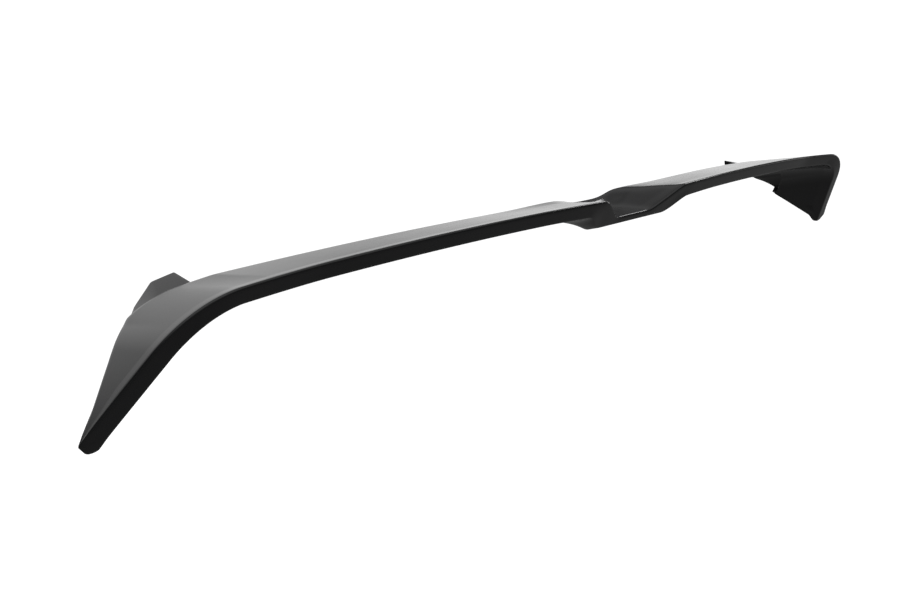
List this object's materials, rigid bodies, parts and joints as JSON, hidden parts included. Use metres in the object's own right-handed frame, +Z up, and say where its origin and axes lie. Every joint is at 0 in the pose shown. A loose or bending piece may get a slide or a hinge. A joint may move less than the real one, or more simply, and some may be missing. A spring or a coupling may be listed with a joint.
{
  "type": "car spoiler",
  "caption": "Gloss black one-piece roof spoiler for a hatchback, with a swept deck, an undercut rear lip, a central trough and drooping end fins.",
  "frame": {"origin": "middle of the flat bonding land under the front edge of the central trough", "axes": "+X across the car to its right, +Y forward, +Z up, with the deck level"},
  "size_m": [1.2546, 0.1996, 0.1275],
  "materials": {
    "gloss_black": "gloss"
  },
  "bodies": {
    "root": {"spoiler_body": "gloss_black"}
  },
  "joints": []
}
